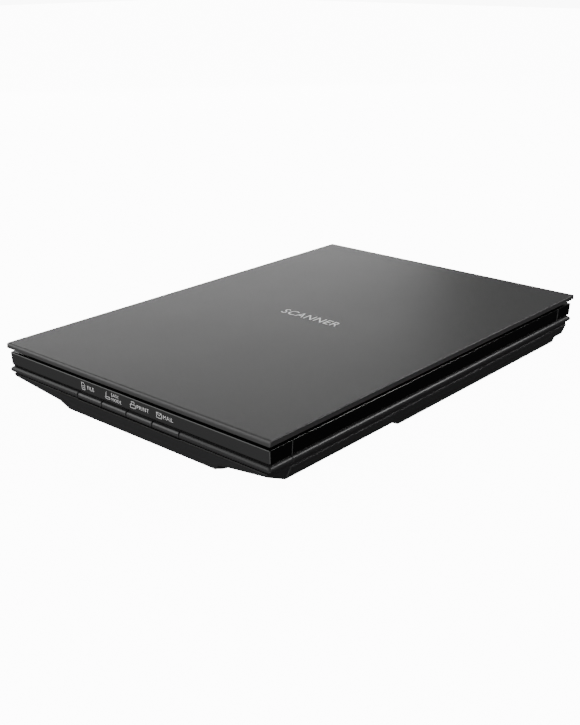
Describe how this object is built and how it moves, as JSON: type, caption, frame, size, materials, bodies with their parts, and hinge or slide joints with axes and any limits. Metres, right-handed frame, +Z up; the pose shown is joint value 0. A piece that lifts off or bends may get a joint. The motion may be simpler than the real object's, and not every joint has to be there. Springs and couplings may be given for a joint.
{
  "type": "flatbed scanner",
  "caption": "Slim flatbed document scanner with a lifting, hinged lid over a glass platen, front push buttons and a moving contact sensor carriage inside.",
  "frame": {"origin": "on the surface the feet stand on, below the middle of the closed lid", "axes": "+X across the button side to the right, +Y from the buttons to the hinges, +Z up"},
  "size_m": [0.25, 0.367, 0.042],
  "materials": {
    "lid_plastic": "fine matt grain",
    "matt_bezel": "satin",
    "gloss_bezel": "high gloss",
    "button_plastic": "satin",
    "case_plastic": "satin moulded",
    "inner_plastic": "moulded",
    "rubber": "matt",
    "platen_glass": "clear float glass",
    "light_guide": "clear acrylic",
    "white_film": "satin",
    "foam": "open foam",
    "circuit_board": "solder mask",
    "chip": "moulded epoxy",
    "steel": "plain",
    "acetal": "smooth",
    "ribbon": "film"
  },
  "bodies": {
    "base": {"lower_case": "case_plastic", "left_front_foot": "rubber", "right_front_foot": "rubber", "left_rear_foot": "rubber", "right_rear_foot": "rubber", "left_front_screw": "steel", "right_front_screw": "steel", "left_rear_screw": "steel", "right_rear_screw": "steel", "front_bezel": "matt_bezel", "rear_bezel": "matt_bezel", "left_bezel": "gloss_bezel", "right_bezel": "gloss_bezel", "upper_case": "inner_plastic", "platen_glass": "platen_glass", "calibration_strip": "white_film", "left_hinge_socket": "inner_plastic", "right_hinge_socket": "inner_plastic", "button_board": "circuit_board", "tact_switch_1": "chip", "tact_switch_2": "chip", "tact_switch_3": "chip", "tact_switch_4": "chip", "main_board": "circuit_board", "controller_chip": "chip", "ribbon_connector": "acetal", "usb_receptacle": "steel", "rack": "acetal", "guide_shaft": "steel", "front_shaft_mount": "acetal", "rear_shaft_mount": "acetal"},
    "document_key": {"document_button": "button_plastic"},
    "auto_key": {"auto_button": "button_plastic"},
    "copy_key": {"copy_button": "button_plastic"},
    "send_key": {"send_button": "button_plastic"},
    "carriage": {"carriage_tray": "inner_plastic", "sensor_housing": "inner_plastic", "rod_lens": "acetal", "light_guide": "light_guide", "sensor_board": "circuit_board", "left_glass_slider": "acetal", "right_glass_slider": "acetal", "left_pressure_spring": "steel", "right_pressure_spring": "steel", "stepper_motor": "steel", "ribbon_cable": "ribbon"},
    "reduction_gear": {"compound_gear": "acetal"},
    "motor_gear": {"motor_pinion": "acetal", "motor_rotor": "steel"},
    "posts": {"left_hinge_post": "inner_plastic", "right_hinge_post": "inner_plastic"},
    "lid": {"lid_plate": "lid_plastic", "left_hinge_pin": "steel", "right_hinge_pin": "steel", "lid_liner": "inner_plastic", "foam_pad": "foam", "document_sheet": "white_film"}
  },
  "joints": [
    {"name": "document_press", "type": "slide", "parent": "base", "child": "document_key", "axis": [0, 1, 0], "range_m": [0, 0.0008], "stiffness_N_per_m": 400},
    {"name": "auto_press", "type": "slide", "parent": "base", "child": "auto_key", "axis": [0, 1, 0], "range_m": [0, 0.0008], "stiffness_N_per_m": 400},
    {"name": "copy_press", "type": "slide", "parent": "base", "child": "copy_key", "axis": [0, 1, 0], "range_m": [0, 0.0008], "stiffness_N_per_m": 400},
    {"name": "send_press", "type": "slide", "parent": "base", "child": "send_key", "axis": [0, 1, 0], "range_m": [0, 0.0008], "stiffness_N_per_m": 400},
    {"name": "carriage_travel", "type": "slide", "parent": "base", "child": "carriage", "axis": [0, 1, 0], "range_m": [0, 0.303], "deforming": ["ribbon_cable"]},
    {"name": "reduction_spin", "type": "hinge", "parent": "carriage", "child": "reduction_gear", "pos_m": [0.0052, -0.154, 0.0113], "axis": [0, 0, 1], "range_deg": [-3630, 0]},
    {"name": "motor_spin", "type": "hinge", "parent": "carriage", "child": "motor_gear", "pos_m": [0.0172, -0.138, 0.0126], "axis": [0, 0, 1], "range_deg": [0, 14500]},
    {"name": "lid_lift", "type": "slide", "parent": "base", "child": "posts", "axis": [0, 0, 1], "range_m": [0, 0.018]},
    {"name": "lid_swing", "type": "hinge", "parent": "posts", "child": "lid", "pos_m": [0, 0.181, 0.0382], "axis": [-1, 0, 0], "range_deg": [0, 95]}
  ],
  "couplings": [
    {"joint": "reduction_spin", "follows": "carriage_travel", "rad_per_m": -208.33},
    {"joint": "motor_spin", "follows": "carriage_travel", "rad_per_m": 833.33}
  ]
}
